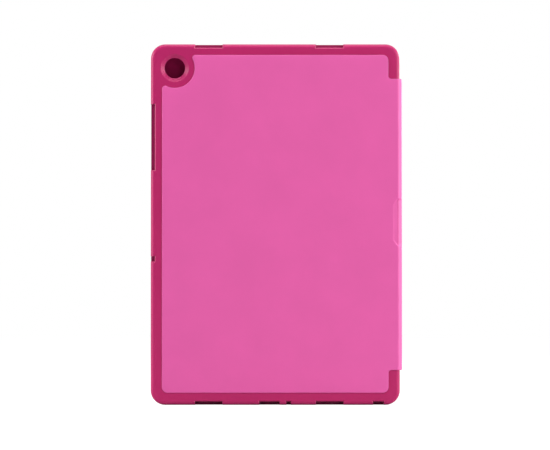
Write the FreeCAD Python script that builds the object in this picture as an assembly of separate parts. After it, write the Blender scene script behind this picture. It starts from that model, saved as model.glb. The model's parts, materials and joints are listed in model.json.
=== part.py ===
"""Folding tablet case with a moulded tray, a stylus channel and a three-panel cover.

The case stands closed on its bottom edge. The leather back faces -Y, the front cover
faces +Y and the spine is at +X. Inside this file x runs across from the tray's left
edge, y from the back face towards the front and z up from the bottom edge. export()
moves everything so that the origin is the centre of the bottom of the whole case.
All sizes are in millimetres.
"""
import FreeCAD
import Part
import math
import os

# Moulded tray
TRAY_W = 180.8
TRAY_H = 262.0
TRAY_CORNER_R = 10.5
TRAY_BACK_EDGE_R = 2.9
TRAY_FRONT_EDGE_R = 0.5
RIM_Y = 0.35  # the leather stands this far proud of the tray's rim
RECESS_Y = 0.8  # floor of the recess that the leather is glued into
FLOOR_Y = 2.3  # inner face of the back plate
POCKET_DEPTH = 7.1  # the tablet is 6.9 thick
LIP_T = 1.1
LIP_Y = FLOOR_Y + POCKET_DEPTH
TRAY_FRONT_Y = LIP_Y + LIP_T

# Tablet pocket: 257.1 x 168.7 tablet and 0.3 of room on each side
POCKET_X = 1.35
POCKET_W = 169.3
POCKET_Z = 2.15
POCKET_H = TRAY_H - 2 * POCKET_Z
POCKET_CORNER_R = 8.8
LIP_OVERHANG = 1.2
LIP_OVERHANG_PARTITION = 0.5
TABLET_MID_X = POCKET_X + POCKET_W / 2

# Stylus channel between the pocket and the spine
PARTITION_T = 0.9
CHANNEL_X = POCKET_X + POCKET_W + PARTITION_T
CHANNEL_RIGHT_X = 179.2
CHANNEL_Z = (44.0, 224.0)
CHANNEL_FLOOR_R = 2.6
RIB_T = 1.2
END_POCKETS = 3  # hollow cells at each end of the channel
END_POCKET_EDGE_Z = 8.0

# Stylus push-out window in the back plate, under the leather
WINDOW_X = (176.2, CHANNEL_RIGHT_X)
WINDOW_MID_Z = TRAY_H - 129.5
WINDOW_SHORT = 25.6
WINDOW_LONG = 32.0

# Camera opening
CAMERA_X = 17.4
CAMERA_Z = TRAY_H - 17.4
CAMERA_HOLE_R = 7.45
CAMERA_RING_R = 10.25
CAMERA_BEVEL_Y = 2.1

# Edge cut-outs: centre from the tablet's middle, and width
SPEAKER_CUT = (43.9, 20.0)
USB_CUT = (0.2, 14.7)
MIC_CUT = (14.05, 3.4)
JACK_CUT = (79.2, 8.0)
CUT_DEPTH_Z = 2.6
CUT_DEPTH_X = 2.9
CUT_BEVEL_W = 0.7
CUT_BEVEL_DEPTH = 0.5
BUTTON_SLOT_Z = (170.3, 218.3)
SIDE_MIC_Z = (104.1, 107.8)

# Leather back panel
PANEL_LEFT = 8.0
PANEL_RIGHT = 172.7
PANEL_TOP = TRAY_H - 7.7
PANEL_BOTTOM = 8.6
PANEL_CORNER_R = 4.2
PANEL_CONCAVE_R = 2.2
PANEL_CAMERA_R = 14.3
PANEL_CAMERA_END_R = 2.2
PANEL_GAP = 0.15
SKIN_T = 0.7
ADHESIVE_INSET = 1.0

# Spine
SPINE_Z = (25.1, 236.9)
SPINE_OUT_X = TRAY_W + 1.6
SPINE_BEND_R = 3.3
SPINE_BOARD_T = 0.7
LINING_T = 0.4
SPINE_T = SKIN_T + SPINE_BOARD_T + LINING_T
SPINE_GAP = 0.4
BEND_X = SPINE_OUT_X - SPINE_BEND_R

# Front cover
COVER_GAP = 0.35
COVER_BOARD_T = 1.3
COVER_T = SKIN_T + COVER_BOARD_T + LINING_T
COVER_IN_Y = TRAY_FRONT_Y + COVER_GAP
COVER_OUT_Y = COVER_IN_Y + COVER_T
COVER_INSET = 0.6
COVER_CORNER_R = 9.9
COVER_EDGE_R = 0.35
BOARD_PLAY = 0.25
PANELS = ("inner", "middle", "outer")
FOLD_GAP = 3.6
FOLD_WEB_DEPTH = 0.3
FOLD_WEB_T = 0.9
FRONT_WEB_T = 1.0
COVER_W = BEND_X - COVER_INSET
LEAF_W = (COVER_W - (len(PANELS) - 1) * FOLD_GAP) / len(PANELS)
FRONT_BEND_Y = COVER_OUT_Y - SPINE_BEND_R

# Magnets and steel strip, set in holes through the boards
MAGNET_T = 1.1  # the steel strip is as thick
CLOSURE_MAGNET = (5.0, 15.0)
CLOSURE_MAGNET_Z = (62.0, 200.0)
STAND_MAGNET = (5.0, 10.0)
STAND_MAGNET_Z = (96.0, 166.0)
MAGNET_EDGE = 6.5
WAKE_MAGNET_R = 3.0
WAKE_MAGNET_AT = (14.0, 131.0)
STEEL_STRIP = (8.0, 190.0)
STEEL_STRIP_EDGE = 7.0
INSERT_PLAY = 0.1

OVERALL_MID_X = SPINE_OUT_X / 2
OVERALL_MID_Y = COVER_OUT_Y / 2
PAST = 5.0  # how far a cutter runs past the face that it opens


def vec(x, y, z):
    return FreeCAD.Vector(x, y, z)


def box(x, y, z):
    """A box from its (low, high) pairs."""
    return Part.makeBox(x[1] - x[0], y[1] - y[0], z[1] - z[0], vec(x[0], y[0], z[0]))


def edges_at(shape, places, reach=0.6):
    """The edges along Y that pass within reach of any (x, z) place."""
    found = []
    for edge in shape.Edges:
        if len(edge.Vertexes) != 2:
            continue
        one = edge.Vertexes[0].Point
        other = edge.Vertexes[1].Point
        if abs(one.x - other.x) > 1e-4 or abs(one.z - other.z) > 1e-4:
            continue
        if any(math.hypot(one.x - x, one.z - z) < reach for x, z in places):
            found.append(edge)
    return found


def round_corners(shape, places, radius):
    return shape.makeFillet(radius, edges_at(shape, places))


def plate(x, y, z, radius, corners=("ll", "lr", "ul", "ur")):
    """A plate in the XZ plane with the named corners rounded: l or u, then l or r."""
    spots = {"ll": (x[0], z[0]), "lr": (x[1], z[0]), "ul": (x[0], z[1]), "ur": (x[1], z[1])}
    places = [spots[c] for c in corners]
    return round_corners(box(x, y, z), places, radius) if places else box(x, y, z)


def soften_face(shape, y, radius):
    """Rounds every edge that lies in the plane at this y."""
    edges = [e for e in shape.Edges if all(abs(v.Point.y - y) < 1e-4 for v in e.Vertexes)]
    return shape.makeFillet(radius, edges)


def cylinder_y(x, z, radius, y):
    return Part.makeCylinder(radius, y[1] - y[0], vec(x, y[0], z), vec(0, 1, 0))


def prism(points, y):
    """A straight prism along Y over (x, z) points."""
    ring = [vec(x, y[0], z) for x, z in points]
    face = Part.Face(Part.makePolygon(ring + ring[:1]))
    return face.extrude(vec(0, y[1] - y[0], 0))


def export(name, shape):
    moved = shape.copy()
    moved.translate(vec(-OVERALL_MID_X, -OVERALL_MID_Y, 0))
    moved.exportStep(os.path.join("parts", name + ".step"))


def panel_shape(gap, right_x, y):
    """The leather back panel's outline as a slab: gap shrinks it, right_x ends its spine strip."""
    left = PANEL_LEFT + gap
    right = PANEL_RIGHT - gap
    top = PANEL_TOP - gap
    bottom = PANEL_BOTTOM + gap
    slab = plate((left, right), y, (bottom, top), PANEL_CORNER_R, ("ll", "lr", "ur"))
    strip_z = (SPINE_Z[0] + gap, SPINE_Z[1] - gap)
    slab = slab.fuse(box((right - 20.0, right_x), y, strip_z)).removeSplitter()
    slab = round_corners(slab, [(right, z) for z in strip_z], PANEL_CONCAVE_R)
    hole_r = PANEL_CAMERA_R + gap
    slab = slab.cut(cylinder_y(CAMERA_X, CAMERA_Z, hole_r, (y[0] - 1, y[1] + 1)))
    slab = slab.cut(box((0, CAMERA_X), (y[0] - 1, y[1] + 1), (CAMERA_Z, TRAY_H)))
    ends = (
        (left, CAMERA_Z - math.sqrt(hole_r**2 - (CAMERA_X - left) ** 2)),
        (CAMERA_X + math.sqrt(hole_r**2 - (top - CAMERA_Z) ** 2), top),
    )
    return round_corners(slab, ends, PANEL_CAMERA_END_R)


def pocket_cutter():
    """The tablet's space and the narrower opening between the lips."""
    pocket = plate(
        (POCKET_X, POCKET_X + POCKET_W),
        (FLOOR_Y, LIP_Y),
        (POCKET_Z, POCKET_Z + POCKET_H),
        POCKET_CORNER_R,
    )
    opening = plate(
        (POCKET_X + LIP_OVERHANG, POCKET_X + POCKET_W - LIP_OVERHANG_PARTITION),
        (LIP_Y - 1.0, TRAY_FRONT_Y + PAST),
        (POCKET_Z + LIP_OVERHANG, POCKET_Z + POCKET_H - LIP_OVERHANG),
        POCKET_CORNER_R - LIP_OVERHANG,
    )
    return pocket.fuse(opening)


def channel_cutter():
    """The stylus channel with rounded floor edges."""
    trough = box((CHANNEL_X, CHANNEL_RIGHT_X), (FLOOR_Y, TRAY_FRONT_Y + PAST), CHANNEL_Z)
    floor_edges = [
        e
        for e in trough.Edges
        if all(abs(v.Point.y - FLOOR_Y) < 1e-4 for v in e.Vertexes)
        and abs(e.Vertexes[0].Point.x - e.Vertexes[1].Point.x) < 1e-4
    ]
    return trough.makeFillet(CHANNEL_FLOOR_R, floor_edges)


def end_pocket_cutters():
    """Hollow cells above and below the channel, parted by ribs."""
    spans = (
        (END_POCKET_EDGE_Z, CHANNEL_Z[0] - RIB_T),
        (CHANNEL_Z[1] + RIB_T, TRAY_H - END_POCKET_EDGE_Z),
    )
    cells = []
    for low, high in spans:
        pitch = (high - low + RIB_T) / END_POCKETS
        for n in range(END_POCKETS):
            z0 = low + n * pitch
            cells.append(
                plate(
                    (CHANNEL_X, CHANNEL_RIGHT_X),
                    (FLOOR_Y, TRAY_FRONT_Y + PAST),
                    (z0, z0 + pitch - RIB_T),
                    1.0,
                )
            )
    return cells


def span(cut, side=1):
    """The x range of a cut-out given from the tablet's middle."""
    mid = TABLET_MID_X + side * cut[0]
    return (mid - cut[1] / 2, mid + cut[1] / 2)


def edge_cut(x, z):
    """A cut-out: open at the back, where its mouth is bevelled, and closed by the front lip."""
    back_y = RIM_Y - CUT_BEVEL_DEPTH
    bevel_y = RIM_Y + CUT_BEVEL_DEPTH
    wide = 2 * CUT_BEVEL_W
    mouth = Part.makeWedge(
        x[0] - wide, back_y, z[0] - wide, z[0], x[0], x[1] + wide, bevel_y, z[1] + wide, z[1], x[1]
    )
    return box(x, (-PAST, LIP_Y), z).fuse(mouth)


def edge_cutters():
    left = (-PAST, CUT_DEPTH_X)
    bottom = (-PAST, CUT_DEPTH_Z)
    top = (TRAY_H - CUT_DEPTH_Z, TRAY_H + PAST)
    cuts = [edge_cut(left, z) for z in (BUTTON_SLOT_Z, SIDE_MIC_Z)]
    cuts += [edge_cut(span(cut), bottom) for cut in (USB_CUT, MIC_CUT, JACK_CUT)]
    for side in (-1, 1):
        cuts.append(edge_cut(span(SPEAKER_CUT, side), bottom))
        cuts.append(edge_cut(span(SPEAKER_CUT, side), top))
    return cuts


def camera_cutter():
    """A round hole through the back plate with a wide bevel on the outside."""
    hole = cylinder_y(CAMERA_X, CAMERA_Z, CAMERA_HOLE_R, (-PAST, FLOOR_Y + 0.5))
    bevel = Part.makeCone(
        CAMERA_RING_R,
        CAMERA_HOLE_R,
        CAMERA_BEVEL_Y - RIM_Y,
        vec(CAMERA_X, RIM_Y, CAMERA_Z),
        vec(0, 1, 0),
    )
    return hole.fuse(bevel)


def window_cutter():
    """The stylus window: its long side is next to the spine."""
    half_short = WINDOW_SHORT / 2
    half_long = WINDOW_LONG / 2
    points = (
        (WINDOW_X[0], WINDOW_MID_Z - half_short),
        (WINDOW_X[1], WINDOW_MID_Z - half_long),
        (WINDOW_X[1], WINDOW_MID_Z + half_long),
        (WINDOW_X[0], WINDOW_MID_Z + half_short),
    )
    return prism(points, (-PAST, FLOOR_Y + CHANNEL_FLOOR_R))


def tray_shell():
    """The one-piece moulding that holds the tablet and the stylus."""
    shell = plate((0, TRAY_W), (RIM_Y, TRAY_FRONT_Y), (0, TRAY_H), TRAY_CORNER_R)
    shell = soften_face(shell, RIM_Y, TRAY_BACK_EDGE_R)
    shell = soften_face(shell, TRAY_FRONT_Y, TRAY_FRONT_EDGE_R)
    wall_x = SPINE_OUT_X - SPINE_T - SPINE_GAP
    cutters = [
        pocket_cutter(),
        channel_cutter(),
        panel_shape(0.0, TRAY_W + PAST, (-PAST, RECESS_Y)),
        box((wall_x, TRAY_W + PAST), (-PAST, TRAY_FRONT_Y + PAST), SPINE_Z),
        camera_cutter(),
        window_cutter(),
    ]
    cutters += end_pocket_cutters() + edge_cutters()
    return shell.cut(cutters).removeSplitter()


def divide(solids, axis, value):
    """Cuts the solids that straddle the plane where x, y or z (axis 0, 1 or 2) is value."""
    far = 10 * TRAY_H
    result = []
    for solid in solids:
        b = solid.BoundBox
        low = (b.XMin, b.YMin, b.ZMin)[axis]
        high = (b.XMax, b.YMax, b.ZMax)[axis]
        if low > value - 0.01 or high < value + 0.01:
            result.append(solid)
            continue
        for side in ((-far, value), (value, far)):
            limits = [(-far, far)] * 3
            limits[axis] = side
            result += solid.common(box(*limits)).Solids
    return result


def floor_region():
    """The middle of the back plate, up to where its rounded edge begins, and to the cut-outs."""
    inset = TRAY_BACK_EDGE_R
    y = (RIM_Y, FLOOR_Y)
    x = (inset, TRAY_W - inset)
    z = (inset, TRAY_H - inset)
    region = plate(x, y, z, TRAY_CORNER_R - inset)
    tabs = []
    for cut in (SPEAKER_CUT, USB_CUT, MIC_CUT, JACK_CUT):
        tabs.append(box(span(cut), y, (CUT_DEPTH_Z, inset + 1)))
    tabs.append(box(span(SPEAKER_CUT, -1), y, (CUT_DEPTH_Z, inset + 1)))
    for side in (-1, 1):
        tabs.append(box(span(SPEAKER_CUT, side), y, (z[1] - 1, TRAY_H - CUT_DEPTH_Z)))
    return region.fuse(tabs)


def rail_regions(partition_x, z, wall_y):
    """The stylus rail: the partition, the outer wall, and the ribs and floor edges between."""
    y = (FLOOR_Y, TRAY_FRONT_Y)
    regions = [box((partition_x, CHANNEL_X), y, z)]
    regions.append(box((CHANNEL_RIGHT_X, TRAY_W), (wall_y, TRAY_FRONT_Y), z))
    for part_z in ((z[0], CHANNEL_Z[0]), CHANNEL_Z, (CHANNEL_Z[1], z[1])):
        regions.append(box((CHANNEL_X, CHANNEL_RIGHT_X), y, part_z))
    return regions


def tray_blocks():
    """The moulding as touching blocks, so that collision hulls follow its thin walls.

    It is cut into its floor, walls, lips and corners. The cuts meet the outer surface on
    flat faces or where it already has an edge, so no new line shows.
    """
    shell = tray_shell()
    partition_x = POCKET_X + POCKET_W - LIP_OVERHANG_PARTITION
    wall_y = RIM_Y + TRAY_BACK_EDGE_R
    corner_z = POCKET_Z + POCKET_CORNER_R
    x = (TRAY_CORNER_R, POCKET_X + POCKET_W - POCKET_CORNER_R, partition_x)
    z = (corner_z, TRAY_H - corner_z)
    regions = [floor_region()] + rail_regions(partition_x, z, wall_y)
    border = shell.cut(regions).Solids
    for value in x:
        border = divide(border, 0, value)
    for value in z:
        border = divide(border, 2, value)
    walls = [solid for solid in border if solid.BoundBox.XMin < partition_x - 1]
    blocks = [solid for solid in border if solid.BoundBox.XMin >= partition_x - 1]
    for value in (wall_y, LIP_Y):
        walls = divide(walls, 1, value)
    blocks += walls
    for region in regions:
        blocks += shell.common(region).Solids
    return Part.makeCompound(blocks)


def back_skin():
    """The part of the leather that is glued to the tray's back."""
    return panel_shape(PANEL_GAP, BEND_X, (0.0, SKIN_T))


def back_adhesive():
    return panel_shape(ADHESIVE_INSET, BEND_X - ADHESIVE_INSET, (SKIN_T, RECESS_Y))


def bend_web(centre_y, thickness, turn):
    """A quarter ring of flexible laminate round an edge of the spine. turn is its first angle."""
    length = SPINE_Z[1] - SPINE_Z[0]
    base = vec(BEND_X, centre_y, SPINE_Z[0])
    outer = Part.makeCylinder(SPINE_BEND_R, length, base, vec(0, 0, 1), 90)
    inner = Part.makeCylinder(SPINE_BEND_R - thickness, length, base, vec(0, 0, 1), 90)
    ring = outer.cut(inner)
    ring.rotate(base, vec(0, 0, 1), turn)
    return ring


def rear_crease_web():
    return bend_web(SPINE_BEND_R, SKIN_T, -90)


def front_crease_web():
    return bend_web(FRONT_BEND_Y, FRONT_WEB_T, 0)


def spine_parts():
    """Leather turned over a stiff board, and the lining that faces the tray."""
    y = (SPINE_BEND_R, FRONT_BEND_Y)
    skin_in_x = SPINE_OUT_X - SKIN_T
    board_in_x = skin_in_x - SPINE_BOARD_T
    lining_in_x = SPINE_OUT_X - SPINE_T
    inner_y = (y[0] + SKIN_T, y[1] - SKIN_T)
    inner_z = (SPINE_Z[0] + SKIN_T, SPINE_Z[1] - SKIN_T)
    board_y = (inner_y[0] + BOARD_PLAY, inner_y[1] - BOARD_PLAY)
    board_z = (inner_z[0] + BOARD_PLAY, inner_z[1] - BOARD_PLAY)
    skin = box((lining_in_x, SPINE_OUT_X), y, SPINE_Z)
    skin = skin.cut(box((lining_in_x - 1, skin_in_x), inner_y, inner_z))
    return {
        "spine_skin": skin,
        "spine_board": box((board_in_x, skin_in_x), board_y, board_z),
        "spine_lining": box((lining_in_x, board_in_x), inner_y, inner_z),
    }


def leaf_x(number):
    """The x range of a cover panel, counted from the spine."""
    right = BEND_X - number * (LEAF_W + FOLD_GAP)
    return (right - LEAF_W, right)


def inset_plate(x, y, z, inset, radius, corners):
    """A plate that follows the cover panel's outline at an even distance inside it."""
    inner_x = (x[0] + inset, x[1] - inset)
    inner_z = (z[0] + inset, z[1] - inset)
    return plate(inner_x, y, inner_z, radius - inset, corners)


def leaf_parts(number):
    """One cover panel: leather turned over the board's edges, board and lining."""
    name = PANELS[number]
    corners = {0: ("lr", "ur"), 1: (), 2: ("ll", "ul")}[number]
    x = leaf_x(number)
    z = (COVER_INSET, TRAY_H - COVER_INSET)
    skin_in_y = COVER_OUT_Y - SKIN_T
    lining_y = (COVER_IN_Y, COVER_IN_Y + LINING_T)
    skin = plate(x, (COVER_IN_Y, COVER_OUT_Y), z, COVER_CORNER_R, corners)
    skin = soften_face(skin, COVER_OUT_Y, COVER_EDGE_R)
    hollow_y = (COVER_IN_Y - 1, skin_in_y)
    skin = skin.cut(inset_plate(x, hollow_y, z, SKIN_T, COVER_CORNER_R, corners))
    board_y = (lining_y[1], skin_in_y)
    board = inset_plate(x, board_y, z, SKIN_T + BOARD_PLAY, COVER_CORNER_R, corners)
    lining = inset_plate(x, lining_y, z, SKIN_T, COVER_CORNER_R, corners)
    return {
        f"cover_{name}_skin": skin,
        f"cover_{name}_board": board,
        f"cover_{name}_lining": lining,
    }


def fold_web(number):
    """The flexible strip between two cover panels, near their outer faces."""
    x = (leaf_x(number + 1)[1], leaf_x(number)[0])
    top_y = COVER_OUT_Y - FOLD_WEB_DEPTH
    z = (COVER_INSET + SKIN_T, TRAY_H - COVER_INSET - SKIN_T)
    return box(x, (top_y - FOLD_WEB_T, top_y), z)


def blocks(size, mid_x, heights, y, play):
    """Boxes of this width and height, one at each height."""
    x = (mid_x - size[0] / 2 - play, mid_x + size[0] / 2 + play)
    half = size[1] / 2 + play
    return [box(x, y, (z - half, z + half)) for z in heights]


def inserts(y, play=0.0):
    """Magnets in the outer panel and the steel strip that they meet in the inner panel.

    With play they are the holes in the boards that they sit in.
    """
    free_x = leaf_x(2)[0]
    mid_x = free_x + MAGNET_EDGE
    wake_x = free_x + WAKE_MAGNET_AT[0]
    strip_mid_x = leaf_x(0)[1] - STEEL_STRIP_EDGE
    return {
        "closure_magnets": blocks(CLOSURE_MAGNET, mid_x, CLOSURE_MAGNET_Z, y, play),
        "stand_magnets": blocks(STAND_MAGNET, mid_x, STAND_MAGNET_Z, y, play),
        "wake_magnet": [cylinder_y(wake_x, WAKE_MAGNET_AT[1], WAKE_MAGNET_R + play, y)],
        "stand_steel_strip": blocks(STEEL_STRIP, strip_mid_x, (TRAY_H / 2,), y, play),
    }


def cover_parts():
    """All three panels, the strips between them and what is set in their boards."""
    parts = {}
    for number in range(len(PANELS)):
        parts.update(leaf_parts(number))
    for number in range(len(PANELS) - 1):
        parts[f"fold_{number + 1}_web"] = fold_web(number)
    board_y = (COVER_IN_Y + LINING_T, COVER_OUT_Y - SKIN_T)
    play_y = (COVER_BOARD_T - MAGNET_T) / 2
    holes = inserts((board_y[0] - 1, board_y[1] + 1), INSERT_PLAY)
    for name, solids in inserts((board_y[0] + play_y, board_y[1] - play_y)).items():
        board = "cover_inner_board" if name == "stand_steel_strip" else "cover_outer_board"
        parts[board] = parts[board].cut(holes[name])
        parts[name] = Part.makeCompound(solids)
    return parts


def main():
    os.makedirs("parts", exist_ok=True)
    parts = {
        "tray_shell": tray_blocks(),
        "back_skin": back_skin(),
        "back_adhesive": back_adhesive(),
        "rear_crease_web": rear_crease_web(),
        "front_crease_web": front_crease_web(),
    }
    parts.update(spine_parts())
    parts.update(cover_parts())
    for name, shape in parts.items():
        export(name, shape)
        print(name, len(shape.Solids), round(shape.Volume, 1), shape.isValid())
    print("overall", SPINE_OUT_X, COVER_OUT_Y, TRAY_H)
    fold_x = [leaf_x(n)[0] - FOLD_GAP / 2 - OVERALL_MID_X for n in range(len(PANELS) - 1)]
    fold_y = COVER_OUT_Y - FOLD_WEB_DEPTH - FOLD_WEB_T / 2 - OVERALL_MID_Y
    half_turn = math.sqrt(0.5)
    rear_r = SPINE_BEND_R - SKIN_T / 2
    front_r = SPINE_BEND_R - FRONT_WEB_T / 2
    print("rear crease axis", BEND_X + rear_r * half_turn - OVERALL_MID_X,
          SPINE_BEND_R - rear_r * half_turn - OVERALL_MID_Y)
    print("front crease axis", BEND_X + front_r * half_turn - OVERALL_MID_X,
          FRONT_BEND_Y + front_r * half_turn - OVERALL_MID_Y)
    print("fold axes", fold_x, fold_y)


main()
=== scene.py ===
"""Looks of a folding tablet case: its leather, lining and tray, with floor, lights and camera.

The leather is one flat sheet that wraps from the tray's back, round the spine and over the
front cover. It is drawn flat, as u along the sheet and v up, divided where a crease lets one
body move against the next, and then wrapped. Flat sizes are in millimetres from the corner
of the case's box, and at() turns them into metres.
"""
import bmesh
import bpy
import json
import math
import numpy as np
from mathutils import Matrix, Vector
from mathutils.geometry import delaunay_2d_cdt


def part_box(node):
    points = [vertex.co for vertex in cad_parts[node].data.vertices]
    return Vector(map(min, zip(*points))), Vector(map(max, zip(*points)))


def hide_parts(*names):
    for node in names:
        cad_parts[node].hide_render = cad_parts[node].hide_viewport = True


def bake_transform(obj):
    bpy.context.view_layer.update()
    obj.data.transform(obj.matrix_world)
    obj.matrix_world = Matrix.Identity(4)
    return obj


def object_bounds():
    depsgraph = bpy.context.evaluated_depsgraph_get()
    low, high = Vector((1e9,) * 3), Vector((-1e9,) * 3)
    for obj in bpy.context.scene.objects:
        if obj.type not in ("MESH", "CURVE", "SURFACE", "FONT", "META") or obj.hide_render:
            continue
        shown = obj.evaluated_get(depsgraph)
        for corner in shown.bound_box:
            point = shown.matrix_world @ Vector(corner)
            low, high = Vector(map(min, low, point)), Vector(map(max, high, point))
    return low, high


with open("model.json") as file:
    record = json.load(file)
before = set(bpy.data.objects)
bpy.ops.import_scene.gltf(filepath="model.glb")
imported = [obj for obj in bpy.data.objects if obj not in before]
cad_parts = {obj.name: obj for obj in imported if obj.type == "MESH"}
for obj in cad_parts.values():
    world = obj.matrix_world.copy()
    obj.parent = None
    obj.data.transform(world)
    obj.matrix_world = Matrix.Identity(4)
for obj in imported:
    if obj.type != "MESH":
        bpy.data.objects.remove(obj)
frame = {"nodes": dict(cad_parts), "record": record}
CAD_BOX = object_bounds()
ORIGIN = CAD_BOX[0]
MM = 0.001


def mm_box(node):
    """A node's (low, high) pairs along x, y and z."""
    low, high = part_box(node)
    return [((low[i] - ORIGIN[i]) / MM, (high[i] - ORIGIN[i]) / MM) for i in range(3)]


# Places that the frame gives
TRAY_TOP = mm_box("tray_shell")[2][1]
BACK_X, _, BACK_Z = mm_box("back_skin")
SPINE_X, SPINE_Y, SPINE_Z = mm_box("spine_skin")
INNER_X, COVER_Y, COVER_Z = mm_box("cover_inner_skin")
OUTER_X = mm_box("cover_outer_skin")[0]
FOLD_X = [sum(mm_box(node)[0]) / 2 for node in ("fold_1_web", "fold_2_web")]
WAKE_MAGNET = mm_box("wake_magnet")
STEEL_STRIP = mm_box("stand_steel_strip")

# Back panel's outline
PANEL_GAP = 0.15
PANEL_RIGHT = 172.55
PANEL_CORNER_R = 4.2
CONCAVE_R = 2.2
CAMERA_FROM_EDGES = 17.4
CAMERA_AT = (CAMERA_FROM_EDGES, TRAY_TOP - CAMERA_FROM_EDGES)
CAMERA_CUT_R = 14.45
CAMERA_END_R = 2.2
COVER_CORNER_R = 9.9
LINING_CORNER_R = 0.8

# The sheet's thickness: leather alone, and leather, board and lining together
SKIN_T = 0.7
LINING_T = 0.4
THIN_T = 0.78
SPINE_T = SPINE_X[1] - SPINE_X[0]
COVER_T = COVER_Y[1] - COVER_Y[0]
BEND_T = 1.0

# Where that thickness changes, as (start, end) beside U_SPINE, U_BEND_2 and U_COVER
SPINE_CHANGE = (0.1, 1.0)
BEND_CHANGE = (-1.3, -0.3)
COVER_CHANGE = (-0.9, -0.1)

# The two folds of the cover, where the leather sinks and both layers thin out
FOLD_T = 1.2
FOLD_DEPTH = 0.3
FOLD_THINNING = 0.1
FOLD_CORE = 1.0
FOLD_REACH = 1.85

# The sheet's edges: the leather's radius, which grows in the rear crease, and its flat rim
EDGE_R_THIN = 0.45
EDGE_R_THICK = 0.8
EDGE_R_FOLD_SHARE = 0.6
EDGE_GROWS_AFTER = 1.0
EDGE_STEPS = 5
RIM_W = 0.7
RIM_CHAMFER = 0.1
LEAST_WALL = 0.02
LEAST_RIM = 0.03

# The lining's edge, as (in from the outline, below the open face) pairs
LINING_INSET = 0.75
LINING_EDGE = ((0.0, 0.14), (0.05, 0.04), (0.16, 0.0))

# How far the magnet and the steel strip press through the lining, and how softly
INSERT_RISE = 0.05
INSERT_SOFT = (0.3, 0.7)

# The two bends, and stations along the flat sheet. The rear crease is two arcs of CREASE_TURN
# with a flat facet between them, and the front one is a quarter turn of BEND_R.
BEND_R = SPINE_Y[0]
CREASE_R = 1.9
CREASE_TURN = math.pi / 4
CREASE_ARC = CREASE_R * CREASE_TURN
CREASE_FLAT = (BEND_R - CREASE_R) * math.sqrt(2)
U_BEND_1 = BACK_X[1]
U_SPINE = U_BEND_1 + 2 * CREASE_ARC + CREASE_FLAT
U_BEND_2 = U_SPINE + SPINE_Y[1] - SPINE_Y[0]
U_COVER = U_BEND_2 + BEND_R * math.pi / 2
U_END = U_COVER + INNER_X[1] - OUTER_X[0]
U_FOLDS = [U_COVER + INNER_X[1] - x for x in FOLD_X]
U_MID_SPINE = (U_SPINE + U_BEND_2) / 2
SEAM_BEFORE_FOLD = 5.0

# Stylus window, which the leather sinks into: its start, deepest place and end along the
# sheet, the depth at each, and half its height at the start and at the rear crease
WINDOW_U = (176.2, U_BEND_1 + 0.6, U_SPINE - 0.2)
WINDOW_DEPTH = (0.22, 0.82, 0.0)
WINDOW_HALF = (12.8, 16.8)
WINDOW_MID_V = TRAY_TOP - 129.5
WINDOW_SOFT = 0.45

# Unevenness of leather glued over a flat plate: its depth, wave lengths and phases
HAND_DEPTH = 0.012
SLOW_WAVES = (23.0, 31.0)
SLOW_PHASES = (0.7, 0.4)
SLOWER_WAVES = (57.0, 71.0)
SLOWER_PHASE = 1.9

# Mesh spacing, and how far the close points reach before, after and beside the window
COARSE = 4.0
FINE = 0.45
WINDOW_STEP = (0.4, 0.5)
WINDOW_REACH = (1.4, 0.8, 1.6)
ARC_STEP = math.radians(7.5)
GRID_START = 2.0
GRID_CLEARANCE = 1.0
PATCH_CLEARANCE = 0.3
LEATHER_MARGIN = 1.3
LINING_MARGIN = 0.4
SHORTEST_RUN = 0.2
BEND_SPAN = 3.0
FOLD_SPAN = 2.6
LINING_SPAN_START = 1.2
INSERT_SPAN = 1.0
SHARP_ANGLE = math.radians(50)

# Points handled at a time, and lengths that count as nothing
CHUNK = 500
TINY = 1e-6
LEVEL = 1e-12
CUT_MERGE = 1e-5
POINT_MERGE = 1e-7


# ---------------------------------------------------------------- curves and heights

def ramp(x, start, end):
    """0 before start, 1 after end, smooth between."""
    t = np.clip((np.asarray(x, float) - start) / (end - start), 0, 1)
    return t * t * (3 - 2 * t)


def near(x, centre, inner, outer):
    """1 within inner of centre, 0 beyond outer."""
    return 1 - ramp(abs(x - centre), inner, outer)


def change(u, place, span):
    """0 before a (start, end) span beside a place, 1 after it."""
    return ramp(u, place + span[0], place + span[1])


def fold_share(u):
    """1 in the middle of a fold, 0 on the panels."""
    return sum(near(u, centre, FOLD_CORE, FOLD_REACH) for centre in U_FOLDS)


def laminate_depth(u):
    """How deep the leather, board and lining reach together."""
    depth = THIN_T + (SPINE_T - THIN_T) * change(u, U_SPINE, SPINE_CHANGE)
    depth += (BEND_T - SPINE_T) * change(u, U_BEND_2, BEND_CHANGE)
    depth += (COVER_T - BEND_T) * change(u, U_COVER, COVER_CHANGE)
    return depth + (FOLD_T - COVER_T) * fold_share(u)


def edge_radius(u):
    """How far the outer face rolls over at the sheet's edge."""
    thick = ramp(u, U_BEND_1 + EDGE_GROWS_AFTER, U_SPINE)
    share = thick - EDGE_R_FOLD_SHARE * fold_share(u)
    return EDGE_R_THIN + (EDGE_R_THICK - EDGE_R_THIN) * share


def window_relief(u, v):
    """The leather's dip over the stylus window, which deepens and widens up to the crease."""
    half = np.interp(u, (WINDOW_U[0], U_BEND_1), WINDOW_HALF)
    across = ramp(half - abs(v - WINDOW_MID_V), -WINDOW_SOFT, WINDOW_SOFT)
    along = ramp(u, WINDOW_U[0] - WINDOW_SOFT, WINDOW_U[0] + WINDOW_SOFT)
    return across * along * np.interp(u, WINDOW_U, WINDOW_DEPTH)


def hand_of_leather(u, v):
    """The slow unevenness of leather glued over a flat plate."""
    slow = np.sin(u / SLOW_WAVES[0] + SLOW_PHASES[0]) * np.cos(v / SLOW_WAVES[1] - SLOW_PHASES[1])
    slower = np.sin(u / SLOWER_WAVES[0] - v / SLOWER_WAVES[1] + SLOWER_PHASE)
    return HAND_DEPTH * (slow + slower)


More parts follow.
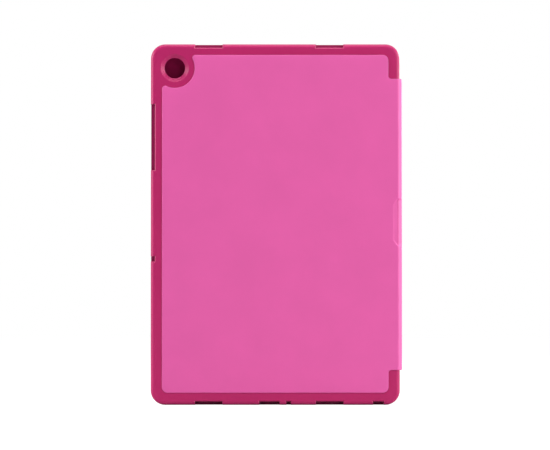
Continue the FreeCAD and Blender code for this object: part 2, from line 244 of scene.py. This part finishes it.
def outer_depth(u, v):
    """Depth of the leather's outer face."""
    return window_relief(u, v) + FOLD_DEPTH * fold_share(u) + hand_of_leather(u, v)


def under_depth(u, v):
    """Depth of the leather's hidden face."""
    return outer_depth(u, v) + SKIN_T - FOLD_THINNING * fold_share(u)


def lining_hidden_depth(u, v):
    """Depth of the lining's glued face."""
    return laminate_depth(u) - LINING_T + FOLD_THINNING * fold_share(u)


def on_sheet(box):
    """A box's middle and half size along u, and then along v."""
    x, _, z = box
    along_u = (U_COVER + INNER_X[1] - sum(x) / 2, (x[1] - x[0]) / 2)
    along_v = (sum(z) / 2, (z[1] - z[0]) / 2)
    return along_u, along_v


def pressed(x, place):
    """1 over an insert's (middle, half size), 0 beyond its soft edge."""
    middle, half = place
    return near(x, middle, half - INSERT_SOFT[0], half + INSERT_SOFT[1])


def lining_depth(u, v):
    """Depth of the lining's open face, with the wake magnet and the steel just showing."""
    depth = laminate_depth(u)
    for box in (WAKE_MAGNET, STEEL_STRIP):
        along_u, along_v = on_sheet(box)
        depth = depth + INSERT_RISE * pressed(u, along_u) * pressed(v, along_v)
    return depth


def crease(run):
    """The rear crease: how far across and round it has gone, and its turn, run along it.

    The leather is pressed to a flat facet between two tight arcs.
    """
    into = np.clip(run, 0, CREASE_ARC) / CREASE_R
    flat = np.clip(run - CREASE_ARC, 0, CREASE_FLAT) * math.sqrt(0.5)
    out = CREASE_TURN + np.clip(run - CREASE_ARC - CREASE_FLAT, 0, CREASE_ARC) / CREASE_R
    across = CREASE_R * (np.sin(into) + np.sin(out) - math.sin(CREASE_TURN)) + flat
    down = CREASE_R * (1 - np.cos(into) + math.cos(CREASE_TURN) - np.cos(out)) + flat
    return across, down, into + out - CREASE_TURN


def wrapped(u, v, depth):
    """Places in the case for points of the flat sheet: flat, round a bend, flat, and so on."""
    across, down, first = crease(u - U_BEND_1)
    second = np.clip((u - U_BEND_2) / BEND_R, 0, math.pi / 2)
    turn = first + second
    spine = np.clip(u - U_SPINE, 0, U_BEND_2 - U_SPINE)
    x = np.minimum(u, U_BEND_1) + across - BEND_R * (1 - np.cos(second))
    y = down + spine + BEND_R * np.sin(second)
    x = x - np.maximum(u - U_COVER, 0) - depth * np.sin(turn)
    y = y + depth * np.cos(turn)
    return np.column_stack([x, y, v]) * MM + np.array(ORIGIN)


# ---------------------------------------------------------------- flat outlines

def arc(centre, radius, start, end):
    """Points along an arc, its ends included."""
    steps = max(2, math.ceil(abs(end - start) / ARC_STEP))
    angles = [start + (end - start) * k / steps for k in range(steps + 1)]
    return [(centre[0] + radius * math.cos(a), centre[1] + radius * math.sin(a)) for a in angles]


def rounded_corner(before, corner, after, radius):
    """The arc that turns one straight run of the outline into the next."""
    come = (Vector(corner) - Vector(before)).normalized()
    go = (Vector(after) - Vector(corner)).normalized()
    centre = Vector(corner) + (go - come) * radius
    start = math.atan2(-go.y, -go.x)
    turn = math.pi / 2 if come.cross(go) > 0 else -math.pi / 2
    return arc(centre, radius, start, start + turn)


def camera_corner(left, top):
    """The back panel's corner, cut away round the camera opening."""
    reach = CAMERA_CUT_R + CAMERA_END_R
    cu, cv = CAMERA_AT
    upper = (cu + math.sqrt(reach**2 - (top - CAMERA_END_R - cv) ** 2), top - CAMERA_END_R)
    lower = (left + CAMERA_END_R, cv - math.sqrt(reach**2 - (left + CAMERA_END_R - cu) ** 2))
    to_upper = math.atan2(upper[1] - cv, upper[0] - cu)
    to_lower = math.atan2(lower[1] - cv, lower[0] - cu)
    points = arc(upper, CAMERA_END_R, math.pi / 2, to_upper + math.pi)
    points += arc(CAMERA_AT, CAMERA_CUT_R, to_upper, to_lower)
    points += arc(lower, CAMERA_END_R, to_lower + math.pi, math.pi)
    return points


def cover_corners(inset, spine_z):
    """The front cover's corners, from the spine strip round and back to it."""
    low = COVER_Z[0] + inset
    high = COVER_Z[1] - inset
    hinge = U_COVER + inset
    free = U_END - inset
    big = COVER_CORNER_R - inset
    return [
        (hinge, spine_z[0], CONCAVE_R + inset),
        (hinge, low, big),
        (free, low, big),
        (free, high, big),
        (hinge, high, big),
        (hinge, spine_z[1], CONCAVE_R + inset),
    ]


def leather_corners():
    """The whole leather sheet's corners. The first one is the camera's."""
    strip = (SPINE_Z[0] + PANEL_GAP, SPINE_Z[1] - PANEL_GAP)
    return [
        (BACK_X[0], BACK_Z[1], None),
        (BACK_X[0], BACK_Z[0], PANEL_CORNER_R),
        (PANEL_RIGHT, BACK_Z[0], PANEL_CORNER_R),
        (PANEL_RIGHT, strip[0], CONCAVE_R),
        *cover_corners(0.0, strip),
        (PANEL_RIGHT, strip[1], CONCAVE_R),
        (PANEL_RIGHT, BACK_Z[1], PANEL_CORNER_R),
    ]


def lining_corners():
    """The lining's corners, from the spine's strip round the cover."""
    strip = (SPINE_Z[0] + PANEL_GAP + LINING_INSET, SPINE_Z[1] - PANEL_GAP - LINING_INSET)
    start = U_SPINE + LINING_INSET
    return [
        (start, strip[1], LINING_CORNER_R),
        (start, strip[0], LINING_CORNER_R),
        *cover_corners(LINING_INSET, strip),
    ]


def stations(low, high, fine_spans):
    """Coordinates from low to high, close together inside the fine spans."""
    values = set(np.arange(low, high, COARSE))
    for start, end in fine_spans:
        values = {x for x in values if not start - GRID_CLEARANCE < x < end + GRID_CLEARANCE}
    for start, end in fine_spans:
        values |= set(np.linspace(start, end, math.ceil((end - start) / FINE) + 1))
    return np.array(sorted(values))


def outline_of(corners, u_lines, v_lines):
    """The closed outline: rounded corners, and runs divided at the same lines as the inside."""
    points = []
    for i, (u, v, radius) in enumerate(corners):
        before = corners[i - 1][:2]
        after = corners[(i + 1) % len(corners)][:2]
        if radius is None:
            points += camera_corner(u, v)
        else:
            points += rounded_corner(before, (u, v), after, radius)
    points = [p for i, p in enumerate(points) if math.dist(p, points[i - 1]) > TINY]
    dense = []
    for i, here in enumerate(points):
        there = points[(i + 1) % len(points)]
        dense.append(here)
        along_u = abs(here[1] - there[1]) < TINY
        along_v = abs(here[0] - there[0]) < TINY
        if not along_u and not along_v:
            continue
        axis = 0 if along_u else 1
        low, high = sorted((here[axis], there[axis]))
        lines = u_lines if along_u else v_lines
        marks = [x for x in lines if low + SHORTEST_RUN < x < high - SHORTEST_RUN]
        marks.sort(reverse=bool(there[axis] < here[axis]))
        dense += [(x, here[1]) if along_u else (here[0], x) for x in marks]
    return np.array(dense)


def inward(outline):
    """Unit normals that point into a counter-clockwise outline."""
    step = np.roll(outline, -1, 0) - outline
    step /= np.linalg.norm(step, axis=1)[:, None]
    along = step + np.roll(step, 1, 0)
    along /= np.linalg.norm(along, axis=1)[:, None]
    return np.column_stack([-along[:, 1], along[:, 0]])


def inside(points, outline, margin):
    """The points inside the outline and at least margin from it."""
    start = outline
    end = np.roll(outline, -1, 0)
    run = end - start
    length = (run**2).sum(1)
    keep = []
    for some in np.array_split(points, max(1, len(points) // CHUNK)):
        gap = some[:, None] - start[None]
        share = np.clip((gap * run).sum(2) / length, 0, 1)
        distance = np.linalg.norm(gap - share[..., None] * run, axis=2).min(1)
        above = (start[None, :, 1] > some[:, None, 1]) != (end[None, :, 1] > some[:, None, 1])
        rise = np.where(run[:, 1] == 0, LEVEL, run[:, 1])
        cross = start[:, 0] + (some[:, None, 1] - start[:, 1]) * run[:, 0] / rise
        crossings = (above & (some[:, None, 0] < cross)).sum(1)
        keep.append(some[(crossings % 2 == 1) & (distance > margin)])
    return np.concatenate(keep)


# ---------------------------------------------------------------- sheets

def triangles(loop, inner):
    """Triangles over a closed loop and the points inside it, numbered loop first."""
    points = [Vector(p) for p in np.concatenate([loop, inner])]
    count = len(loop)
    edges = [(i, (i + 1) % count) for i in range(count)]
    _, _, faces, origin, _, _ = delaunay_2d_cdt(points, edges, [], 1, POINT_MERGE)
    return [[origin[i][0] for i in face] for face in faces]


def flat_sheet(outline, inner, profile, top, bottom):
    """A closed flat sheet as a bmesh: x is u, y is depth and z is v.

    profile(outline) gives the edge's rings from the top face to the bottom one, as (how far
    in from the outline, depth) pairs. top and bottom give the two faces' depths.
    """
    normals = inward(outline)
    rings = []
    for inset, depth in profile(outline):
        uv = outline + normals * np.broadcast_to(inset, len(outline))[:, None]
        rings.append(np.column_stack([uv[:, 0], np.broadcast_to(depth, len(outline)), uv[:, 1]]))
    count = len(outline)
    ringed = count * len(rings)
    faces = triangles(rings[0][:, [0, 2]], inner)
    layers = [np.column_stack([inner[:, 0], f(*inner.T), inner[:, 1]]) for f in (top, bottom)]
    sheet = bmesh.new()
    verts = [sheet.verts.new(p) for p in np.concatenate(rings + layers)]
    for face in faces:
        sheet.faces.new([verts[i if i < count else ringed + i - count] for i in face])
        low = [i + ringed - count if i < count else ringed + i + len(inner) - count for i in face]
        sheet.faces.new([verts[i] for i in reversed(low)])
    for ring in range(len(rings) - 1):
        for i in range(count):
            a = ring * count + i
            b = ring * count + (i + 1) % count
            sheet.faces.new([verts[b], verts[a], verts[a + count], verts[b + count]])
    return sheet


def cut_between(sheet, low, high):
    """A copy of the flat sheet from u = low to u = high, with its cut ends closed."""
    piece = sheet.copy()
    for u, side in ((low, -1), (high, 1)):
        if u is None:
            continue
        everything = piece.verts[:] + piece.edges[:] + piece.faces[:]
        bmesh.ops.bisect_plane(
            piece,
            geom=everything,
            dist=CUT_MERGE,
            plane_co=(u, 0, 0),
            plane_no=(side, 0, 0),
            clear_outer=True,
        )
        open_edges = [e for e in piece.edges if e.is_boundary]
        bmesh.ops.holes_fill(piece, edges=open_edges, sides=0)
    return piece


def add_object(name, data):
    """A new object in the scene that shows the mesh, light or camera data."""
    made = bpy.data.objects.new(name, data)
    bpy.context.scene.collection.objects.link(made)
    return made


def wrapped_object(name, piece, material):
    """The piece wrapped round the case, with its flat places kept as a UV map in metres."""
    mesh = bpy.data.meshes.new(name)
    piece.to_mesh(mesh)
    piece.free()
    flat = np.empty(len(mesh.vertices) * 3)
    mesh.vertices.foreach_get("co", flat)
    u, depth, v = flat.reshape(-1, 3).T
    mesh.vertices.foreach_set("co", wrapped(u, v, depth).ravel())
    corner = np.empty(len(mesh.loops), int)
    mesh.loops.foreach_get("vertex_index", corner)
    layer = mesh.uv_layers.new(name="flat")
    layer.data.foreach_set("uv", (np.column_stack([u, v])[corner] * MM).ravel())
    mesh.shade_smooth()
    mesh.set_sharp_from_angle(angle=SHARP_ANGLE)
    mesh.materials.append(material)
    mesh.update()
    return add_object(name, mesh)


def leather_profile(outline):
    """The outer face rolls over the edge, down and under to a flat rim."""
    u, v = outline.T
    radius = edge_radius(u)
    depth = laminate_depth(u)
    outer = outer_depth(u, v)
    rings = []
    for step in range(EDGE_STEPS + 1):
        a = math.pi / 2 * step / EDGE_STEPS
        rings.append((radius * (1 - math.sin(a)), outer + radius * (1 - math.cos(a))))
    rings.append((0.0, np.maximum(depth - RIM_CHAMFER, outer + radius + LEAST_WALL)))
    rings.append((RIM_CHAMFER, depth))
    rings.append((RIM_W, depth))
    rings.append((RIM_W, np.minimum(under_depth(u, v), depth - LEAST_RIM)))
    return rings


def lining_profile(outline):
    """A cut edge, barely rounded on the open side."""
    u, v = outline.T
    depth = lining_depth(u, v)
    return [(0.0, lining_hidden_depth(u, v))] + [(x, depth - y) for x, y in LINING_EDGE]


def window_points():
    """Close points where the leather sinks into the stylus window."""
    before, after, beside = WINDOW_REACH
    half = WINDOW_HALF[1] + beside
    us = np.arange(WINDOW_U[0] - before, WINDOW_U[2] + after, WINDOW_STEP[0])
    vs = np.arange(WINDOW_MID_V - half, WINDOW_MID_V + half, WINDOW_STEP[1])
    return np.array([(u, v) for u in us for v in vs])


def inner_points(outline, u_lines, v_lines, margin, dense=None):
    """The grid inside the outline, with a close patch in place of part of it."""
    grid = np.array([(u, v) for u in u_lines for v in v_lines])
    if dense is not None:
        low = dense.min(0) - PATCH_CLEARANCE
        high = dense.max(0) + PATCH_CLEARANCE
        grid = grid[((grid < low) | (grid > high)).any(1)]
        grid = np.concatenate([grid, dense])
    return inside(grid, outline, margin)


def divided(sheet, names, seams, material):
    """The sheet cut at its seams, each piece wrapped round the case."""
    pieces = []
    for name, low, high in zip(names, [None] + seams, seams + [None]):
        pieces.append(wrapped_object(name, cut_between(sheet, low, high), material))
    sheet.free()
    return pieces


def fold_spans():
    """Where the mesh is fine across each fold."""
    return [(u - FOLD_SPAN, u + FOLD_SPAN) for u in U_FOLDS]


def fold_seams():
    """Where the sheet is divided, a little before each fold."""
    return [u - SEAM_BEFORE_FOLD for u in U_FOLDS]


def build_leather(material):
    """The whole leather sheet, divided into the four pieces that move."""
    spans = [(U_BEND_1 - BEND_SPAN, U_COVER + BEND_SPAN)] + fold_spans()
    u_lines = stations(BACK_X[0] + GRID_START, U_END, spans)
    v_lines = stations(COVER_Z[0] + GRID_START, COVER_Z[1], [])
    outline = outline_of(leather_corners(), u_lines, v_lines)
    inner = inner_points(outline, u_lines, v_lines, LEATHER_MARGIN, window_points())
    sheet = flat_sheet(outline, inner, leather_profile, outer_depth, under_depth)
    names = ("back_leather", "inner_panel_leather", "middle_panel_leather", "outer_panel_leather")
    return divided(sheet, names, [U_MID_SPINE] + fold_seams(), material)


def build_lining(material):
    """The lining, divided like the leather, from the spine to the free edge."""
    start = U_SPINE + LINING_SPAN_START
    spans = [(start, U_COVER + BEND_SPAN)] + fold_spans()
    for box in (WAKE_MAGNET, STEEL_STRIP):
        middle, half = on_sheet(box)[0]
        for edge in (middle - half, middle + half):
            spans.append((edge - INSERT_SPAN, edge + INSERT_SPAN))
    magnet = (WAKE_MAGNET[2][0] - INSERT_SPAN, WAKE_MAGNET[2][1] + INSERT_SPAN)
    u_lines = stations(start, U_END, spans)
    v_lines = stations(COVER_Z[0] + GRID_START, COVER_Z[1], [magnet])
    outline = outline_of(lining_corners(), u_lines, v_lines)
    inner = inner_points(outline, u_lines, v_lines, LINING_MARGIN)
    sheet = flat_sheet(outline, inner, lining_profile, lining_hidden_depth, lining_depth)
    names = ("inner_panel_lining", "middle_panel_lining", "outer_panel_lining")
    return divided(sheet, names, fold_seams(), material)


# ---------------------------------------------------------------- materials

class Material:
    """A node material with a Principled shader, and short calls to add nodes to it."""

    def __init__(self, name):
        self.data = bpy.data.materials.new(name)
        self.data.use_nodes = True
        self.tree = self.data.node_tree
        self.shader = self.tree.nodes["Principled BSDF"]

    def node(self, kind, **values):
        """A new node, with its own settings or its inputs set by name."""
        made = self.tree.nodes.new(kind)
        for key, value in values.items():
            if hasattr(made, key):
                setattr(made, key, value)
            else:
                made.inputs[key.replace("_", " ").title()].default_value = value
        return made

    def link(self, out, into):
        self.tree.links.new(out, into)

    def place(self, flat):
        """Where a texture is read: on the flat sheet, or in the object's own space."""
        if flat:
            return self.node("ShaderNodeUVMap", uv_map="flat").outputs["UV"]
        return self.node("ShaderNodeTexCoord").outputs["Object"]

    def noise(self, place, scale):
        made = self.node("ShaderNodeTexNoise", scale=scale, detail=3.0, roughness=0.55)
        self.link(place, made.inputs["Vector"])
        return made.outputs["Fac"]

    def cells(self, place, scale):
        made = self.node("ShaderNodeTexVoronoi", feature="SMOOTH_F1", scale=scale)
        self.link(place, made.inputs["Vector"])
        return made.outputs["Distance"]

    def colours(self, factor, stops):
        """A ramp from one (position, colour) pair to another, fed into the base colour."""
        made = self.node("ShaderNodeValToRGB")
        for element, (position, colour) in zip(made.color_ramp.elements, stops):
            element.position = position
            element.color = (*colour, 1.0)
        self.link(factor, made.inputs["Fac"])
        self.link(made.outputs["Color"], self.shader.inputs["Base Color"])

    def spread(self, factor, low, high, socket):
        """Maps a 0 to 1 value on to low to high and feeds a socket of the shader."""
        made = self.node("ShaderNodeMapRange")
        made.inputs["To Min"].default_value = low
        made.inputs["To Max"].default_value = high
        self.link(factor, made.inputs["Value"])
        self.link(made.outputs["Result"], self.shader.inputs[socket])

    def bumps(self, *layers):
        """Stacks (height, strength, distance in metres) layers on the shader's normal."""
        normal = None
        for height, strength, distance in layers:
            made = self.node("ShaderNodeBump")
            made.inputs["Strength"].default_value = strength
            made.inputs["Distance"].default_value = distance
            self.link(height, made.inputs["Height"])
            if normal is not None:
                self.link(normal, made.inputs["Normal"])
            normal = made.outputs["Normal"]
        self.link(normal, self.shader.inputs["Normal"])

    def set(self, **values):
        """Sets inputs of the shader by name, with underscores for spaces."""
        for key, value in values.items():
            self.shader.inputs[key.replace("_", " ")].default_value = value


def shade(colour, factor):
    """The colour made darker or lighter, and never over white."""
    return tuple(min(1.0, c * factor) for c in colour)


def mottled(name, colour, spread, scale, roughness, bumps, flat=False, **values):
    """A material whose colour and gloss vary slowly by spread and by a roughness range.

    scale is the mottle's; bumps holds (kind, scale, strength, depth in metres) layers.
    """
    made = Material(name)
    place = made.place(flat)
    slow = made.noise(place, scale)
    shades = (shade(colour, 1 - spread), shade(colour, 1 + spread))
    made.colours(slow, zip(MOTTLE_STOPS, shades))
    made.spread(slow, *roughness, "Roughness")
    layers = []
    for kind, size, strength, depth in bumps:
        texture = made.cells if kind == "cells" else made.noise
        layers.append((texture(place, size), strength, depth))
    made.bumps(*layers)
    made.set(**values)
    return made.data


MOTTLE_STOPS = (0.3, 0.7)
LEATHER = (0.745, 0.085, 0.362)
PLASTIC = (0.46, 0.010, 0.118)
MICROFIBRE = (0.32, 0.006, 0.070)
BOARD = (0.35, 0.33, 0.31)
FILM = (0.80, 0.80, 0.78)
NICKEL = (0.72, 0.70, 0.66)
STEEL = (0.56, 0.57, 0.58)


def leather_material():
    """Smooth coated leather with a fine pebble grain."""
    return mottled(
        "pink_leather",
        LEATHER,
        spread=0.025,
        scale=35.0,
        roughness=(0.46, 0.54),
        bumps=[("cells", 1500.0, 0.5, 0.00006), ("noise", 5200.0, 0.3, 0.00002)],
        flat=True,
        Specular_IOR_Level=0.7,
    )


def plastic_material():
    """Moulded plastic with a faint satin texture."""
    return mottled(
        "magenta_plastic",
        PLASTIC,
        spread=0.03,
        scale=30.0,
        roughness=(0.36, 0.44),
        bumps=[("noise", 3500.0, 0.12, 0.00002)],
        Specular_IOR_Level=0.34,
    )


def microfibre_material():
    """Short soft nap that catches light at its edges."""
    return mottled(
        "pink_microfibre",
        MICROFIBRE,
        spread=0.10,
        scale=120.0,
        roughness=(0.85, 0.95),
        bumps=[("noise", 6000.0, 0.5, 0.00008)],
        flat=True,
        Sheen_Weight=0.25,
        Sheen_Roughness=0.4,
        Sheen_Tint=(0.9, 0.15, 0.4, 1.0),
        Specular_IOR_Level=0.1,
    )


def board_material():
    """Pressed grey board."""
    return mottled(
        "grey_board",
        BOARD,
        spread=0.12,
        scale=300.0,
        roughness=(0.8, 0.9),
        bumps=[("noise", 2500.0, 0.4, 0.00005)],
    )


def film_material():
    """Pale glue film."""
    return mottled(
        "adhesive_film",
        FILM,
        spread=0.03,
        scale=200.0,
        roughness=(0.2, 0.3),
        bumps=[("noise", 900.0, 0.2, 0.00003)],
    )


def metal_material(name, colour, roughness, grain):
    """Bare metal with a fine grain."""
    return mottled(
        name,
        colour,
        spread=0.04,
        scale=200.0,
        roughness=roughness,
        bumps=[("noise", grain, 0.1, 0.00001)],
        Metallic=1.0,
    )


def dress_cad_nodes():
    """Every CAD node that can still be seen or opened up gets its own material."""
    by_slot = {
        "tray_plastic": plastic_material(),
        "stiffener_board": board_material(),
        "adhesive_film": film_material(),
        "magnet": metal_material("nickel", NICKEL, (0.18, 0.26), 3000.0),
        "steel": metal_material("steel", STEEL, (0.28, 0.38), 5000.0),
    }
    for part in frame["record"]["subparts"]:
        if part["material_slot"] not in by_slot:
            continue
        mesh = frame["nodes"][part["node"]].data
        mesh.materials.clear()
        mesh.materials.append(by_slot[part["material_slot"]])


# ---------------------------------------------------------------- hiding the covered CAD nodes and baking the pieces

def declare_sheet(piece):
    """Reads the piece's flat places from its UV map."""
    flat = np.empty(len(piece.data.loops) * 2)
    piece.data.uv_layers["flat"].data.foreach_get("uv", flat)


def declare_panels(pieces):
    """Reads the flat places of the inner, middle and outer piece; each lies glued to the boards
    on both sides of its bend.
    """
    boards = ("spine_board", "cover_inner_board", "cover_middle_board", "cover_outer_board")
    for piece, before, after in zip(pieces, boards, boards[1:]):
        declare_sheet(piece)


def fit_front_crease(piece):
    """Bakes the piece's transform into its mesh; the piece runs from the spine round the front
    bend to the inner panel.
    """
    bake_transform(piece)


def fit_folds(middle, outer):
    """Bakes the middle and the outer piece's transforms into their meshes; each piece spans the
    fold before its panel.
    """
    panels = ("cover_inner", "cover_middle", "cover_outer")
    for piece, x, before, after in zip((middle, outer), FOLD_X, panels, panels[1:]):
        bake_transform(piece)


def fit_leather(pieces):
    """Hides the CAD nodes that the pieces stand for, reads the pieces' flat places and bakes
    their transforms; each piece spans one crease or fold.
    """
    back, inner, middle, outer = pieces
    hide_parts("back_skin", "rear_crease_web", "spine_skin")
    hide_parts("front_crease_web", "cover_inner_skin")
    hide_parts("fold_1_web", "cover_middle_skin")
    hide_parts("fold_2_web", "cover_outer_skin")
    declare_sheet(back)
    declare_panels([inner, middle, outer])
    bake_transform(back)
    fit_front_crease(inner)
    fit_folds(middle, outer)


def fit_lining(pieces):
    """Hides the lining's CAD nodes, reads the pieces' flat places and bakes their transforms; the
    pieces span the same bends as the leather's, except the rear crease.
    """
    inner, middle, outer = pieces
    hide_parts("spine_lining", "cover_inner_lining")
    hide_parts("cover_middle_lining")
    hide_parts("cover_outer_lining")
    declare_panels(pieces)
    fit_front_crease(inner)
    fit_folds(middle, outer)


# ---------------------------------------------------------------- floor, light and camera

WORLD_LIGHT = 0.24

# The floor: half its side in metres, and what it reflects, glows and shows of its shadow
FLOOR_HALF = 6.0
FLOOR_REFLECTS = 0.55
FLOOR_GLOW = 0.96
FLOOR_SHADOW = 0.16

# The lights: name, place and size in metres, and power in watts
LIGHTS = (
    ("left", (-2.4, -0.30, 0.95), (1.2, 1.2), 60.0),
    ("right", (2.2, -0.62, 0.75), (1.2, 1.2), 46.0),
    ("top", (0, -0.12, 1.3), (1.4, 0.6), 12.0),
    ("front", (1.1, -2.4, 1.0), (1.0, 0.6), 9.5),
    ("behind", (1.3, 1.6, 0.7), (1.2, 0.8), 32.0),
)
LIGHTS_AIM = (0, 0, 0.12)

# The camera: its view's width and middle at the back panel, and its height, in metres
VIEW_WIDTH = 0.3990
VIEW_AT = (-0.0010, 0.1305)
EYE_HEIGHT = 0.07
LENS = 234.0
SENSOR = 36.0
CLIP_START = 0.01


def white_world():
    """White to the camera, and a softer grey as light."""
    world = bpy.data.worlds.new("white")
    world.use_nodes = True
    nodes = world.node_tree.nodes
    links = world.node_tree.links
    path = nodes.new("ShaderNodeLightPath")
    mix = nodes.new("ShaderNodeMix")
    mix.inputs["A"].default_value = WORLD_LIGHT
    mix.inputs["B"].default_value = 1.0
    links.new(path.outputs["Is Camera Ray"], mix.inputs["Factor"])
    links.new(mix.outputs["Result"], nodes["Background"].inputs["Strength"])
    nodes["Background"].inputs["Color"].default_value = (1, 1, 1, 1)
    bpy.context.scene.world = world


def grey(value):
    """An opaque grey colour."""
    return (value, value, value, 1)


def floor_material():
    """Near white to the camera with a trace of shadow, and pale grey as a reflector."""
    made = bpy.data.materials.new("pale_floor")
    made.use_nodes = True
    nodes = made.node_tree.nodes
    links = made.node_tree.links
    nodes.clear()
    path = nodes.new("ShaderNodeLightPath")
    plain = nodes.new("ShaderNodeBsdfDiffuse")
    plain.inputs["Color"].default_value = grey(FLOOR_REFLECTS)
    glow = nodes.new("ShaderNodeEmission")
    glow.inputs["Strength"].default_value = FLOOR_GLOW
    seen = nodes.new("ShaderNodeBsdfDiffuse")
    seen.inputs["Color"].default_value = grey(FLOOR_SHADOW)
    both = nodes.new("ShaderNodeAddShader")
    mix = nodes.new("ShaderNodeMixShader")
    out = nodes.new("ShaderNodeOutputMaterial")
    links.new(glow.outputs[0], both.inputs[0])
    links.new(seen.outputs[0], both.inputs[1])
    links.new(path.outputs["Is Camera Ray"], mix.inputs["Fac"])
    links.new(plain.outputs[0], mix.inputs[1])
    links.new(both.outputs[0], mix.inputs[2])
    links.new(mix.outputs[0], out.inputs["Surface"])
    return made


def build_floor():
    """A wide flat square under the case."""
    mesh = bpy.data.meshes.new("floor")
    half = FLOOR_HALF
    corners = [(-half, -half, 0), (half, -half, 0), (half, half, 0), (-half, half, 0)]
    mesh.from_pydata(corners, [], [(0, 1, 2, 3)])
    mesh.materials.append(floor_material())
    add_object("floor", mesh)


def build_lights():
    """Soft rectangular lights that point at the case and aren't seen themselves."""
    for name, place, size, power in LIGHTS:
        data = bpy.data.lights.new(name, "AREA")
        data.shape = "RECTANGLE"
        data.size, data.size_y = size
        data.energy = power
        light = add_object(name, data)
        light.location = place
        direction = Vector(LIGHTS_AIM) - Vector(place)
        light.rotation_euler = direction.to_track_quat("-Z", "Y").to_euler()
        light.visible_camera = False


def build_camera():
    """A long lens, low in front of the back panel and tilted up to its middle."""
    data = bpy.data.cameras.new("camera")
    data.lens = LENS
    data.sensor_width = SENSOR
    data.clip_start = CLIP_START
    distance = VIEW_WIDTH * LENS / SENSOR
    camera = add_object("camera", data)
    camera.location = (VIEW_AT[0], ORIGIN[1] - distance, EYE_HEIGHT)
    tilt = math.atan2(VIEW_AT[1] - EYE_HEIGHT, distance)
    camera.rotation_euler = (math.pi / 2 + tilt, 0, 0)
    bpy.context.scene.camera = camera


# ---------------------------------------------------------------- the scene

dress_cad_nodes()
fit_leather(build_leather(leather_material()))
fit_lining(build_lining(microfibre_material()))
white_world()
build_floor()
build_lights()
build_camera()
bpy.context.scene.view_settings.view_transform = "Standard"
